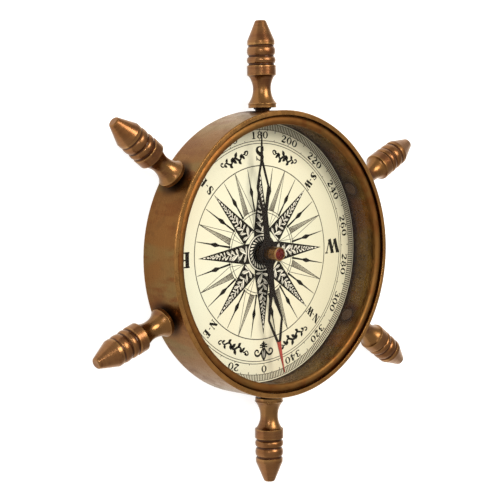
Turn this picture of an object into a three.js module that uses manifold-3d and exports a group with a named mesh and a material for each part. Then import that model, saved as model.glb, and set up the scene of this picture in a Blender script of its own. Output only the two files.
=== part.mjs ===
// A drum compass with six turned handles set around its case like the spokes of a ship's wheel.
// Millimetres. The case lies on its flat back: z = 0 is the back face, +Z looks out through the glass.
// The dial's S is at +Y, its N at -Y, its W at +X and its E at -X.

import * as THREE from 'three';
import { mergeVertices } from 'three/addons/utils/BufferGeometryUtils.js';
import Module from 'manifold-3d';

const wasm = await Module();
wasm.setup();

// Driving dimensions of the case.
const caseRadius = 39.0;
const caseHeight = 13.4;
const edgeChamfer = 0.5;
const floorThickness = 1.9;
const chamberRadius = 36.1;
const seatHeight = 10.8; // ledge that carries the gasket and the glass
const recessRadius = 37.7; // counterbore above the ledge
const layer = 0.02; // cement or fit line between pieces that lie on each other

// Dial.
const dialRadius = 36.0;
const plateThickness = 0.78;
const cardThickness = 0.3;
const dialBore = 1.05;

// Pivot and needle. The blade is a flat strip whose arms are bent up towards the glass.
const pinRadius = 0.5;
const pinTop = 9.55;
const bladeBottom = 5.7;
const bladeThickness = 0.3;
const bladeLength = 33.5; // centre to tip
const bendStart = 10.0;
const bendRise = 1.9;
const needleHeading = THREE.MathUtils.degToRad(5.8); // north tip, counterclockwise from -Y
const northSide = -1; // the red arm points to -Y before the needle is turned
const capRadius = 1.95;
const capTop = 10.5;
const jewelRadius = 1.6;

// Glazing.
const gasketTop = 10.98;
const glassBottom = 11.0;
const glassThickness = 0.8;
const glassRadius = 37.55;
const ringInnerRadius = 35.2;
const ringDomeRadius = 37.4; // outer edge of the dome, inside the groove along the lip
const ringCrown = 12.9;

// Handles. They are drilled in by hand, so neither their spacing nor their lean is quite even:
// angle is the hole's place around the case, lean the axis's turn away from the radial line there.
const handleHeight = 6.0;
const handleStandOff = 0.75; // case wall to handle, along the handle's axis
const handleLength = 23.55;
const handleSeats = [
  { name: 'top', angle: 92.1, lean: -1.8 },
  { name: 'upper_left', angle: 145.5, lean: -2.7 },
  { name: 'lower_left', angle: 202.0, lean: -1.1 },
  { name: 'bottom', angle: 268.5, lean: 0.5 },
  { name: 'lower_right', angle: 326.0, lean: -2.0 },
  { name: 'upper_right', angle: 26.9, lean: 0.3 },
];
const studRadius = 2.0;
const studClearance = 0.05;
const spigotRadius = 1.5;
const spigotLength = 6.0;

// Facets around the turned pieces.
const caseFacets = 72;
const handleFacets = 16;
const smallFacets = 24;

const material = (color, roughness, metalness) =>
  new THREE.MeshStandardMaterial({ color, roughness, metalness });

const materials = {
  case: material('#8a5d2c', 0.42, 1.0),
  ring: material('#7d5226', 0.45, 1.0),
  handle: material('#936330', 0.34, 1.0),
  stud: material('#4d3218', 0.5, 1.0),
  plate: material('#7a5a2c', 0.6, 1.0),
  card: material('#f4ecc9', 0.9, 0.0),
  steel: material('#9a9894', 0.35, 1.0),
  blade: material('#171411', 0.45, 0.6),
  cap: material('#a87a2e', 0.3, 1.0),
  jewel: material('#5c0f0b', 0.2, 0.0),
  gasket: material('#1c1b19', 0.85, 0.0),
  glass: material('#eef4f2', 0.04, 0.0),
};

// A turned solid about +Z from [radius, height] pairs that run counterclockwise round its section.
// A section that touches the axis starts and ends there; a ring's section comes back to its start.
function turned(section, facets) {
  const points = section.map(([radius, height]) => new THREE.Vector2(radius, height));
  return new THREE.LatheGeometry(points, facets).rotateX(Math.PI / 2);
}

function turnedRing(section, facets) {
  return turned([...section, section[0]], facets);
}

function toSolid(geometry) {
  const bare = geometry.clone();
  bare.deleteAttribute('normal');
  bare.deleteAttribute('uv');
  const merged = mergeVertices(bare, 1e-4);
  const vertProperties = new Float32Array(merged.attributes.position.array);
  const triVerts = new Uint32Array(merged.index.array);
  return new wasm.Manifold(new wasm.Mesh({ numProp: 3, vertProperties, triVerts }));
}

function toGeometry(solid) {
  const { vertProperties, triVerts } = solid.getMesh();
  const geometry = new THREE.BufferGeometry();
  geometry.setAttribute('position', new THREE.BufferAttribute(new Float32Array(vertProperties), 3));
  geometry.setIndex(new THREE.BufferAttribute(new Uint32Array(triVerts), 1));
  geometry.computeVertexNormals();
  return geometry;
}

function named(name, geometry, finish) {
  const mesh = new THREE.Mesh(geometry, finish);
  mesh.name = name;
  return mesh;
}

// The place of a handle: its origin is on the case's outer radius, and its +Z is the handle's axis.
function seatMatrix({ angle, lean }) {
  const place = THREE.MathUtils.degToRad(angle);
  const heading = THREE.MathUtils.degToRad(angle + lean);
  const origin = new THREE.Vector3(
    caseRadius * Math.cos(place),
    caseRadius * Math.sin(place),
    handleHeight,
  );
  const outward = new THREE.Vector3(Math.cos(heading), Math.sin(heading), 0);
  const turn = new THREE.Quaternion().setFromUnitVectors(new THREE.Vector3(0, 0, 1), outward);
  return new THREE.Matrix4().compose(origin, turn, new THREE.Vector3(1, 1, 1));
}

// The case is a turned cup: chamfered back edge, thin lip, a counterbore for the glass and ring,
// and six holes drilled through the wall for the handle studs.
function makeCase() {
  const lipBreak = 0.15;
  const cup = toSolid(turned([
    [0, 0],
    [caseRadius - edgeChamfer, 0],
    [caseRadius, edgeChamfer],
    [caseRadius, caseHeight - edgeChamfer],
    [caseRadius - edgeChamfer, caseHeight],
    [recessRadius + lipBreak, caseHeight],
    [recessRadius, caseHeight - lipBreak],
    [recessRadius, seatHeight],
    [chamberRadius, seatHeight],
    [chamberRadius, floorThickness],
    [0, floorThickness],
  ], caseFacets));
  const drillLength = 8.0;
  const drillCentre = (chamberRadius - caseRadius) / 2;
  const drillRadius = studRadius + studClearance;
  let drilled = cup;
  for (const seat of handleSeats) {
    const drill = new THREE.CylinderGeometry(drillRadius, drillRadius, drillLength, smallFacets);
    drill.rotateX(Math.PI / 2).translate(0, 0, drillCentre);
    drill.applyMatrix4(seatMatrix(seat));
    drilled = drilled.subtract(toSolid(drill));
  }
  return named('case_cup', toGeometry(drilled), materials.case);
}

// The printed card is cemented on a thin brass plate; both are bored for the pivot's base.
function makeDial() {
  const plateBottom = floorThickness + layer;
  const plateTop = plateBottom + plateThickness;
  const cardBottom = plateTop + layer;
  const cardTop = cardBottom + cardThickness;
  const washer = (bottom, top) => turnedRing([
    [dialBore, bottom],
    [dialRadius, bottom],
    [dialRadius, top],
    [dialBore, top],
  ], caseFacets);
  return {
    plate: named('dial_plate', washer(plateBottom, plateTop), materials.plate),
    card: named('dial_card', washer(cardBottom, cardTop), materials.card),
    cardTop,
  };
}

// The brass pivot base stands on the card with its shank through the dial, and grips the steel pin.
function makePivot(cardTop) {
  const shankRadius = 1.0;
  const flangeRadius = 2.3;
  const flangeThickness = 0.55;
  const neckRadius = 1.15;
  const neckTop = cardTop + 1.4;
  const bore = pinRadius + layer;
  const shankBottom = floorThickness + 2 * layer;
  const flangeBottom = cardTop + layer;
  const base = turnedRing([
    [bore, shankBottom],
    [shankRadius, shankBottom],
    [shankRadius, flangeBottom],
    [flangeRadius, flangeBottom],
    [flangeRadius, flangeBottom + flangeThickness],
    [neckRadius, neckTop - 0.3],
    [neckRadius - 0.2, neckTop],
    [bore, neckTop],
  ], smallFacets);
  const pointLength = 1.1;
  const pin = turned([
    [0, shankBottom],
    [pinRadius, shankBottom],
    [pinRadius, pinTop - pointLength],
    [0, pinTop],
  ], smallFacets);
  return [
    named('pivot_base', base, materials.cap),
    named('pivot_pin', pin, materials.steel),
  ];
}

// Half outlines of the blade from hub to tip, as [distance along the arm, half width].
const bladeEdge = [
  [4.3, 1.22],
  [5.2, 1.05],
  [6.2, 1.0],
  [bendStart, 0.98],
  [11.2, 1.0],
  [13.6, 1.6],
  [16.0, 2.18],
  [18.4, 2.75],
  [20.7, 2.08],
  [23.0, 1.4],
  [25.2, 0.76],
  [29.3, 0.42],
  [bladeLength, 0.07],
];
const windowEdge = [
  [12.0, 0],
  [14.1, 0.7],
  [16.3, 1.42],
  [18.4, 2.1],
  [20.7, 1.36],
  [22.8, 0.68],
  [24.8, 0],
];

function armRise(distance) {
  const beyond = Math.max(0, distance - bendStart) / (bladeLength - bendStart);
  return bendRise * beyond * beyond;
}

// The south arm's lozenge is slimmer than the north arm's.
function armWidth(side, along, half) {
  if (side === northSide) return half;
  const share = Math.min(1, Math.max(0, (along - 11) / 5));
  return half * (1 - 0.17 * share);
}

// The blade: a strip through the hub, with a pierced lozenge in each arm, bent up by armRise.
function makeBlade(hubBore) {
  const hubRadius = 3.6;
  const hubArc = THREE.MathUtils.degToRad(122); // the hub's bare rim on either side
  const hubSteps = 6;
  const outline = [];
  for (const side of [1, -1]) {
    // Up the right edge of one arm, round its tip and back down the left edge.
    const edge = bladeEdge.map(([along, half]) => [along, armWidth(side, along, half)]);
    const right = edge.map(([along, half]) => [side * half, side * along]);
    const left = edge.toReversed().map(([along, half]) => [-side * half, side * along]);
    outline.push(...right, ...left);
    // Round the hub to the other arm.
    for (let step = 0; step <= hubSteps; step += 1) {
      const turn = Math.PI - hubArc / 2 + (hubArc * step) / hubSteps;
      outline.push([side * hubRadius * Math.cos(turn), side * hubRadius * Math.sin(turn)]);
    }
  }
  const shape = new THREE.Shape(outline.map(([x, y]) => new THREE.Vector2(x, y)));
  const bore = new THREE.Path();
  bore.absarc(0, 0, hubBore, 0, 2 * Math.PI, true);
  shape.holes.push(bore);
  for (const side of [1, -1]) {
    const edge = windowEdge.map(([along, half]) => [along, armWidth(side, along, half)]);
    const inner = edge.slice(1, -1).toReversed();
    const points = [
      ...edge.map(([along, half]) => new THREE.Vector2(side * half, side * along)),
      ...inner.map(([along, half]) => new THREE.Vector2(-side * half, side * along)),
    ];
    shape.holes.push(new THREE.Path(points));
  }
  const blade = new THREE.ExtrudeGeometry(shape, {
    depth: bladeThickness,
    bevelEnabled: false,
    curveSegments: smallFacets / 2,
  });
  const position = blade.attributes.position;
  for (let index = 0; index < position.count; index += 1) {
    const lift = bladeBottom + armRise(Math.abs(position.getY(index)));
    position.setZ(index, position.getZ(index) + lift);
  }
  return blade;
}

// The needle turns on the pin: a blade, a brass cap riveted through its hub, and a red jewel whose
// cone rests on the pin's point.
function makeNeedle() {
  const spigot = 1.55;
  const capBore = 1.2;
  const jewelSeat = 8.6;
  const bladeTop = bladeBottom + bladeThickness;
  const cap = turnedRing([
    [capBore, bladeBottom - 0.2],
    [spigot, bladeBottom - 0.2],
    [spigot, bladeTop + layer],
    [capRadius, bladeTop + layer],
    [capRadius, capTop - 0.2],
    [capRadius - 0.15, capTop],
    [jewelRadius + layer, capTop],
    [jewelRadius + layer, jewelSeat],
    [capBore, jewelSeat],
  ], smallFacets);
  const coneRadius = 1.0;
  const jewel = turned([
    [0, pinTop + 0.05],
    [coneRadius, jewelSeat + layer],
    [jewelRadius, jewelSeat + layer],
    [jewelRadius, capTop - 0.2],
    [1.2, capTop - 0.08],
    [0, capTop - 0.04],
  ], smallFacets);
  const needle = new THREE.Group();
  needle.rotation.z = needleHeading;
  needle.add(named('needle_blade', makeBlade(spigot + 0.05), materials.blade));
  needle.add(named('needle_cap', cap, materials.cap));
  needle.add(named('cap_jewel', jewel, materials.jewel));
  return needle;
}

// Gasket, glass and the domed ring that holds them down. The ring's foot fills the recess, and its
// dome stands back from the lip behind a narrow groove.
function makeGlazing() {
  const gasketBottom = seatHeight + layer;
  const glassTop = glassBottom + glassThickness;
  const gasket = turnedRing([
    [chamberRadius + 0.2, gasketBottom],
    [glassRadius, gasketBottom],
    [glassRadius, gasketTop],
    [chamberRadius + 0.2, gasketTop],
  ], caseFacets);
  const glass = turned([
    [0, glassBottom],
    [glassRadius, glassBottom],
    [glassRadius, glassTop],
    [0, glassTop],
  ], caseFacets);
  const footBottom = glassTop + layer;
  const footTop = footBottom + 0.3;
  const footRadius = recessRadius - 0.05;
  const domeMiddle = (ringInnerRadius + ringDomeRadius) / 2;
  const domeHalf = (ringDomeRadius - ringInnerRadius) / 2;
  const domeSteps = 6;
  const dome = [];
  for (let step = 0; step <= domeSteps; step += 1) {
    const turn = (Math.PI * step) / domeSteps;
    const rise = (ringCrown - footTop) * Math.sin(turn);
    dome.push([domeMiddle + domeHalf * Math.cos(turn), footTop + rise]);
  }
  const ring = turnedRing([
    [ringInnerRadius, footBottom],
    [footRadius, footBottom],
    [footRadius, footTop],
    ...dome,
  ], caseFacets);
  return [
    named('glass_gasket', gasket, materials.gasket),
    named('glass', glass, materials.glass),
    named('retaining_ring', ring, materials.ring),
  ];
}

// A quarter-round bead between two grooves, as [distance, radius] pairs.
function bead(from, to, grooveRadius, crownRadius) {
  const steps = 3;
  const points = [];
  for (let step = 0; step <= steps; step += 1) {
    const share = step / steps;
    const rise = Math.sqrt(Math.sin(Math.PI * share));
    points.push([grooveRadius + (crownRadius - grooveRadius) * rise, from + (to - from) * share]);
  }
  return points;
}

// A turned handle from its flange outwards: flange, waisted neck, collar, two beads between narrow
// grooves, and a blunt cone. Its blind hole takes the stud's spigot.
function makeHandle() {
  const groove = 3.45;
  const hole = spigotRadius + studClearance;
  const outside = [
    [3.8, 0],
    [3.9, 0.1],
    [3.9, 1.15],
    [3.05, 2.5],
    [2.6, 3.8],
    [2.45, 5.1],
    [2.6, 6.5],
    [3.2, 8.0],
    [3.95, 8.77],
    [3.95, 11.35],
    [groove, 11.65],
    ...bead(11.9, 13.7, groove, 3.9),
    ...bead(14.1, 16.4, groove, 3.85),
    [groove, 16.75],
    [3.72, 17.0],
    [3.72, 18.0],
    [1.5, handleLength - 0.15],
    [1.3, handleLength],
    [0, handleLength],
  ];
  return turned([
    [0, spigotLength + 0.3],
    [hole, spigotLength + 0.3],
    [hole, 0],
    ...outside,
  ], handleFacets).translate(0, 0, handleStandOff);
}

// A stud holds each handle: it fills the hole in the wall, its collar spaces the handle off the
// case, and its thinner spigot is screwed into the handle.
function makeStud() {
  const innerEnd = chamberRadius - caseRadius - 0.15;
  const collarRadius = 2.4;
  const collarStart = 0.15;
  const collarEnd = handleStandOff - layer;
  return turned([
    [0, innerEnd],
    [studRadius, innerEnd],
    [studRadius, collarStart],
    [collarRadius, collarStart],
    [collarRadius, collarEnd],
    [spigotRadius, collarEnd],
    [spigotRadius, spigotLength],
    [0, spigotLength],
  ], handleFacets);
}

function makeHandleSet() {
  return handleSeats.map((seat) => {
    const set = new THREE.Group();
    set.applyMatrix4(seatMatrix(seat));
    set.add(named(`handle_${seat.name}`, makeHandle(), materials.handle));
    set.add(named(`stud_${seat.name}`, makeStud(), materials.stud));
    return set;
  });
}

const dial = makeDial();
const compass = new THREE.Group();
compass.name = 'compass';
compass.add(
  makeCase(),
  dial.plate,
  dial.card,
  ...makePivot(dial.cardTop),
  makeNeedle(),
  ...makeGlazing(),
  ...makeHandleSet(),
);

export default compass;
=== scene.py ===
"""Looks of the ship's-wheel drum compass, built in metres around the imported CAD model.

Every turned piece is one lathe section, the dial's print is thin raised ink, and every finish is
made of shader nodes. Lengths in the tables below are millimetres and are scaled by MM.
"""

import math
import random

import bmesh
import bpy
import numpy as np
from mathutils import Matrix, Vector


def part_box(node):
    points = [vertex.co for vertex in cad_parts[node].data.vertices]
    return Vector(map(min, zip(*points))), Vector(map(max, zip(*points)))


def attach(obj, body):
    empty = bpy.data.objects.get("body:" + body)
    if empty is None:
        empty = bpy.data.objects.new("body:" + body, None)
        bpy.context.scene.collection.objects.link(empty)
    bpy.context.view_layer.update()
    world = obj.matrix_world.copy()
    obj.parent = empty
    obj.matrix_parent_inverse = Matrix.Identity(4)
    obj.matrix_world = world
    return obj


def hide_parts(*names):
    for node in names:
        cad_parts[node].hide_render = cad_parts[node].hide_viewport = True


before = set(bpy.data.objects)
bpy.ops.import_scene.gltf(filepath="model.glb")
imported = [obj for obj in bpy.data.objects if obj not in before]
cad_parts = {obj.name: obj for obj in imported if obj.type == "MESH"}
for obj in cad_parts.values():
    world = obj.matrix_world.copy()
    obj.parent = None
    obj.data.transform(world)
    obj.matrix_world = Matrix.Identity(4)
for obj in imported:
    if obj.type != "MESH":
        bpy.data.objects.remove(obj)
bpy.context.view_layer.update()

MM = 0.001
CASE, NEEDLE = "case", "needle"
SEATS = ["top", "upper_left", "lower_left", "bottom", "lower_right", "upper_right"]


def size_of(node):
    """Outer radius, bottom and top of a turned CAD node about Z, in millimetres."""
    low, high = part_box(node)
    return high.x / MM, low.z / MM, high.z / MM


CASE_R, _, CASE_TOP = size_of("case_cup")
CARD_R, _, CARD_TOP = size_of("dial_card")
RING_R, RING_BOTTOM, RING_TOP = size_of("retaining_ring")
CHAMBER_R = CARD_R + 0.1
RECESS_R = RING_R + 0.05
FLOOR_TOP = size_of("dial_plate")[1] - 0.02
LEDGE = size_of("glass_gasket")[1] - 0.02
EDGE_REACH = 0.35  # how far edge wear and the corner darkening, part patina and part painted shade, spread along a section


# ---------------- turned pieces

NEARLY_STRAIGHT = math.radians(172)


def filleted(section, radius):
    """The section's points with each corner rounded; a point may carry its own radius."""
    out, steps = [], 4
    for i, point in enumerate(section):
        r = point[2] if len(point) > 2 else radius
        here = Vector(point[:2])
        if i in (0, len(section) - 1) or r <= 0:
            out.append(here)
            continue
        back = Vector(section[i - 1][:2]) - here
        on = Vector(section[i + 1][:2]) - here
        angle = back.angle(on, math.pi)
        if angle > NEARLY_STRAIGHT:
            out.append(here)
            continue
        cut = min(r / math.tan(angle / 2), 0.45 * back.length, 0.45 * on.length)
        first = here + back.normalized() * cut
        last = here + on.normalized() * cut
        for k in range(steps + 1):
            t = k / steps
            out.append(first.lerp(here, t).lerp(here.lerp(last, t), t))
    return out


def with_shoulders(points):
    """Extra points close to the ends of long runs, so that edge wear stays at the edges."""
    out = [points[0]]
    for a, b in zip(points, points[1:]):
        length = (b - a).length
        if length > 3 * EDGE_REACH:
            share = EDGE_REACH / length
            out += [a.lerp(b, share), a.lerp(b, 1 - share)]
        out.append(b)
    return out


def edge_values(points):
    """How far each point is on an outer edge, up to 1, or in an inner corner, down to -1."""
    turn = [0.0] * len(points)
    along = [0.0]
    for a, b in zip(points, points[1:]):
        along.append(along[-1] + (b - a).length)
    for i in range(1, len(points) - 1):
        a, b = points[i] - points[i - 1], points[i + 1] - points[i]
        turn[i] = math.atan2(a.x * b.y - a.y * b.x, a.dot(b))
    values = []
    for s in along:
        near = sum(t * max(0.0, 1 - abs(q - s) / EDGE_REACH) for t, q in zip(turn, along))
        values.append(max(-1.0, min(1.0, near / (math.pi / 2))))
    return values, along


def turned(name, section, material, body, replaces, segments=128, radius=0.12, ring=False):
    """A turned solid about Z from [radius, height] pairs in millimetres, counterclockwise."""
    start = list(section) + [section[0]] if ring else list(section)
    points = with_shoulders(filleted(start, radius))
    values, along = edge_values(points)
    if ring:
        points, values, along = points[:-1], values[:-1], along[:-1]
    verts, edge, run, rows = [], [], [], []
    for p, value, s in zip(points, values, along):
        on_axis = p.x < 1e-6
        row = []
        for k in range(1 if on_axis else segments):
            a = 2 * math.pi * k / segments
            row.append(len(verts))
            verts.append((p.x * math.cos(a) * MM, p.x * math.sin(a) * MM, p.y * MM))
            edge.append(value)
            run.append(s * MM)
        rows.append(row)
    faces = []
    pairs = list(zip(rows, rows[1:])) + ([(rows[-1], rows[0])] if ring else [])
    for low, high in pairs:
        for k in range(segments):
            j = (k + 1) % segments
            if len(low) == 1 and len(high) == 1:
                break
            if len(low) == 1:
                faces.append((low[0], high[j], high[k]))
            elif len(high) == 1:
                faces.append((low[k], low[j], high[0]))
            else:
                faces.append((low[k], low[j], high[j], high[k]))
    mesh = bpy.data.meshes.new(name)
    mesh.from_pydata(verts, [], faces)
    for label, data in (("edge", edge), ("run", run)):
        mesh.attributes.new(label, "FLOAT", "POINT").data.foreach_set("value", data)
    return piece(name, mesh, material, body, replaces)


def slab(inner, node):
    """The section of a flat ring, as wide and as thick as a CAD node, from an inner radius."""
    outer, low, high = size_of(node)
    return [(inner, low), (outer, low), (outer, high), (inner, high)]


def mesh_from(bm, name):
    """A mesh with the bmesh's contents, which is then freed."""
    mesh = bpy.data.meshes.new(name)
    bm.to_mesh(mesh)
    bm.free()
    return mesh


def modified(obj):
    """A new mesh with the object's modifiers applied."""
    return bpy.data.meshes.new_from_object(obj.evaluated_get(bpy.context.evaluated_depsgraph_get()))


def linked(name, data):
    """A new object of a mesh, light or camera, in the scene."""
    obj = bpy.data.objects.new(name, data)
    bpy.context.scene.collection.objects.link(obj)
    return obj


def piece(name, mesh, material, body, replaces, sharp=32):
    """Finishes a mesh as a shown piece that rides on a CAD body."""
    mesh.validate()
    mesh.shade_smooth()
    mesh.set_sharp_from_angle(angle=math.radians(sharp))
    if material:
        mesh.materials.append(material)
    obj = linked(name, mesh)
    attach(obj, body)
    if replaces:
        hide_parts(*replaces)
    return obj


def axis_of(node):
    """Start point, direction and length of a CAD node's long axis, pointing away from Z."""
    places = {tuple(round(c, 7) for c in v.co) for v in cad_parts[node].data.vertices}
    co = np.array(sorted(places))
    middle = co.mean(0)
    direction = np.linalg.svd(co - middle, full_matrices=False)[2][0]
    if direction @ (middle * [1, 1, 0]) < 0:
        direction = -direction
    reach = (co - middle) @ direction
    return Vector(middle + direction * reach.min()), Vector(direction), reach.max() - reach.min()


def stand_on(obj, start, direction):
    """Moves a piece made about Z so that its Z runs along direction from start."""
    turn = direction.to_track_quat("Z", "Y").to_matrix().to_4x4()
    obj.data.transform(Matrix.Translation(start) @ turn)


# ---------------- shader helpers


class Nodes:
    """A node tree and short ways to add to it."""

    def __init__(self, tree):
        self.tree = tree

    def node(self, kind, inputs=None, **settings):
        """A new shader node with the given settings, and values or sockets fed to its inputs."""
        made = self.tree.nodes.new("ShaderNode" + kind)
        for key, value in settings.items():
            setattr(made, key, value)
        for key, value in (inputs or {}).items():
            self.feed(made.inputs[key], value)
        return made

    def feed(self, socket, value):
        if isinstance(value, bpy.types.NodeSocket):
            self.tree.links.new(value, socket)
        else:
            socket.default_value = value

    def math(self, how, a, b=0.0):
        return self.node("Math", {0: a, 1: b}, operation=how).outputs[0]

    def uneven(self, length, noise, reach):
        """A length shifted by up to reach by a noise, so that what follows has a ragged edge."""
        return self.math("ADD", length, self.math("MULTIPLY", noise, reach))

    def span(self, value, low, high, to_low=0.0, to_high=1.0):
        """The value stretched from low..high to to_low..to_high, clamped and eased."""
        inputs = dict(enumerate((value, low, high, to_low, to_high)))
        return self.node("MapRange", inputs, interpolation_type="SMOOTHSTEP").outputs[0]

    def mix(self, share, a, b):
        """Colour a turning into colour b as share goes from 0 to 1."""
        a, b = ((*item, 1.0) if isinstance(item, tuple) else item for item in (a, b))
        return self.node("Mix", {0: share, 6: a, 7: b}, data_type="RGBA").outputs[2]

    def attribute(self, name):
        return self.node("Attribute", attribute_name=name).outputs["Fac"]


class Look(Nodes):
    """A material of one principled shader, and the nodes that look at places on the object."""

    def __init__(self, name):
        self.material = bpy.data.materials.new(name)
        self.material.use_nodes = True
        super().__init__(self.material.node_tree)
        self.tree.nodes.clear()
        self.shader = self.node("BsdfPrincipled")
        self.output = self.node("OutputMaterial", {0: self.shader.outputs[0]})
        self.place = self.node("TexCoord").outputs["Object"]

    def set(self, **values):
        for key, value in values.items():
            self.feed(self.shader.inputs[key.replace("_", " ")], value)

    def noise(self, scale, detail=3.0, rough=0.55, place=None, distortion=0.0):
        inputs = {
            "Vector": place or self.place, "Scale": scale, "Detail": detail, "Roughness": rough,
            "Distortion": distortion,
        }
        return self.node("TexNoise", inputs).outputs["Fac"]

    def stretched(self, scale):
        """Object coordinates scaled per axis: below 1 stretches what follows along that axis."""
        return self.node("Mapping", {"Vector": self.place, "Scale": scale}).outputs["Vector"]

    def split(self):
        """The place's X, Y and Z, in metres."""
        return self.node("SeparateXYZ", {0: self.place}).outputs

    def bump(self, height, depth, strength):
        inputs = {"Height": height, "Distance": depth, "Strength": strength}
        self.set(Normal=self.node("Bump", inputs).outputs[0])


def turning_lines(look, pitch):
    """Fine lines left by the lathe tool: noise that changes only along the section."""
    shifted = look.uneven(look.attribute("run"), look.noise(90.0, detail=1.0), 0.6 * pitch)
    vector = look.node("CombineXYZ", {0: shifted}).outputs[0]
    return look.noise(1.0 / pitch, detail=3.0, rough=0.7, place=vector)


def above(look, height, blotch):
    """1 on surfaces higher than a height in millimetres, with a soft, uneven edge."""
    ragged, fade = 0.5, 0.5
    level = look.uneven(look.split()[2], blotch, ragged * MM)
    return look.span(level, (height + ragged / 2) * MM, (height + ragged / 2 + fade) * MM)


def wall_dirt(look, blotch):
    """Painted shade under the glass seat and at the foot of the wall over the card, on the inner wall only.
    """
    x, y, height = look.split()
    square = look.math("ADD", look.math("POWER", x, 2.0), look.math("POWER", y, 2.0))
    radius = look.math("SQRT", square)
    inside = look.span(radius, (CHAMBER_R + 0.3) * MM, (CHAMBER_R + 0.5) * MM, 1.0, 0.0)
    # Painted shade just under the glass seat.
    seat = look.uneven(height, blotch, 1.2 * MM)
    seat = look.span(seat, (LEDGE - 0.6) * MM, (LEDGE + 0.5) * MM, 0.0, 0.6)
    # Painted shade at the foot of the wall, darkest next to the card.
    foot = look.uneven(height, blotch, -2.2 * MM)
    foot = look.span(foot, (CARD_TOP - 0.6) * MM, (CARD_TOP + 0.9) * MM, 0.97, 0.0)
    return look.math("MULTIPLY", look.math("MAXIMUM", seat, foot), inside)


def seat_dirt(look, blotch):
    """Painted shade of the gap and a painted dark reflection of the handle on the wall round the foot of each
    handle.
    """
    nearest = 1.0
    for seat in SEATS:
        foot = axis_of("handle_" + seat)[0]
        gap = look.node("VectorMath", {0: look.place, 1: foot}, operation="DISTANCE")
        nearest = look.math("MINIMUM", gap.outputs["Value"], nearest)
    # Painted shade and reflection: a dark ring round each handle's foot.
    return look.span(look.uneven(nearest, blotch, 1.2 * MM), 4.4 * MM, 7.0 * MM, 0.9, 0.0)


GOLDEN = (0.205, 0.098, 0.024)
GRAZING_TINT = (1.0, 0.91, 0.80, 1.0)


def antique_brass(
    name, brown, olive, red, bright, rough, pitch=0.00025, dark=(0.030, 0.009, 0.003),
    darkening_share=0.92, coat=0.0, rub_from=None, hollow=False, golden=False,
):
    """Turned brass under a brown patina: olive and red drifts, rubbed edges, and inner corners darkened by
    dark patina and painted shade.

    Above the height rub_from, in millimetres, it is rubbed bright. hollow adds painted shade on the case's
    inner wall and round the foot of each handle, and golden cleans the start of the section.
    """
    look = Look(name)
    streaks = look.stretched((1.0, 1.0, 0.3))
    broad = look.noise(75.0, detail=2.0, place=streaks, distortion=0.5)
    drift = look.noise(210.0, detail=4.0, rough=0.6, place=streaks)
    blotch = look.noise(330.0, detail=4.0, rough=0.65)
    speck = look.noise(1500.0, detail=3.0, rough=0.7)
    lines = turning_lines(look, pitch)
    tone = look.mix(look.span(broad, 0.44, 0.56), brown, olive)
    tone = look.mix(look.span(drift, 0.48, 0.62, 0.0, 0.85), tone, red)
    tone = look.mix(look.span(blotch, 0.54, 0.74, 0.0, 0.25), tone, dark)
    tone = look.mix(look.span(lines, 0.40, 0.70, 0.0, 0.19), tone, bright)
    tone = look.mix(look.span(speck, 0.62, 0.74, 0.0, 0.5), tone, dark)
    if golden:
        start = look.span(look.attribute("run"), 12.5 * MM, 14.5 * MM, 0.55, 0.0)
        clean = look.span(drift, 0.64, 0.46)
        tone = look.mix(look.math("MULTIPLY", start, clean), tone, GOLDEN)
    edge = look.attribute("edge")
    patchy = look.span(blotch, 0.30, 0.60, 0.8, 0.25)
    rub = look.math("MULTIPLY", look.span(edge, 0.10, 0.7), patchy)
    if rub_from is not None:
        top = look.math("MULTIPLY", above(look, rub_from, blotch), 0.9)
        rub = look.math("MAXIMUM", rub, top)
    tone = look.mix(rub, tone, bright)
    # Inner corners darker: partly dark patina, partly painted shade.
    patina_and_shade = look.span(look.math("MULTIPLY", edge, -1.0), 0.06, 0.55)
    # Painted shade on the inner wall and round the handles' feet.
    if hollow:
        for patch in (wall_dirt(look, blotch), seat_dirt(look, blotch)):
            patina_and_shade = look.math("MAXIMUM", patina_and_shade, patch)
    # The corner and hollow darkening, patina and painted shade, mixed towards the dark colour.
    tone = look.mix(look.math("MULTIPLY", patina_and_shade, darkening_share), tone, dark)
    shine = look.span(blotch, 0.3, 0.7, rough - 0.06, rough + 0.08)
    shine = look.math("ADD", shine, look.math("MULTIPLY", patina_and_shade, 0.25))
    look.set(Base_Color=tone, Metallic=1.0, Roughness=shine, Specular_Tint=GRAZING_TINT)
    look.set(Coat_Weight=coat, Coat_Roughness=0.20)
    height = look.math("ADD", look.math("MULTIPLY", lines, 0.7), look.math("MULTIPLY", speck, 0.3))
    look.bump(height, 0.03 * MM, 0.55)
    return look.material


def stud_look():
    """Blackened neck whose inner end, the first of the section, is worn back to dull brass."""
    look = Look("stud_metal")
    mottle = look.noise(500.0, detail=4.0)
    worn = look.mix(look.span(mottle, 0.35, 0.65), (0.105, 0.062, 0.040), (0.150, 0.085, 0.050))
    black = look.mix(look.span(mottle, 0.35, 0.65), (0.012, 0.006, 0.004), (0.030, 0.014, 0.008))
    look.set(
        Base_Color=look.mix(look.span(look.attribute("run"), 1.6 * MM, 2.1 * MM), worn, black),
        Metallic=1.0,
        Roughness=look.span(mottle, 0.3, 0.7, 0.40, 0.52),
    )
    look.bump(mottle, 0.02 * MM, 0.5)
    return look.material


def plain(name, color, rough, metallic=0.0, change=0.12, specular=0.5):
    """One material with a fine mottle in colour and roughness."""
    look = Look(name)
    mottle = look.noise(900.0, detail=4.0)
    darker = tuple(c * (1 - change) for c in color)
    lighter = tuple(min(1.0, c * (1 + change)) for c in color)
    look.set(
        Base_Color=look.mix(look.span(mottle, 0.3, 0.7), darker, lighter),
        Metallic=metallic,
        Roughness=look.span(mottle, 0.3, 0.7, rough - 0.06, rough + 0.06),
        Specular_IOR_Level=specular,
    )
    look.bump(mottle, 0.01 * MM, 0.5)
    return look.material


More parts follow.
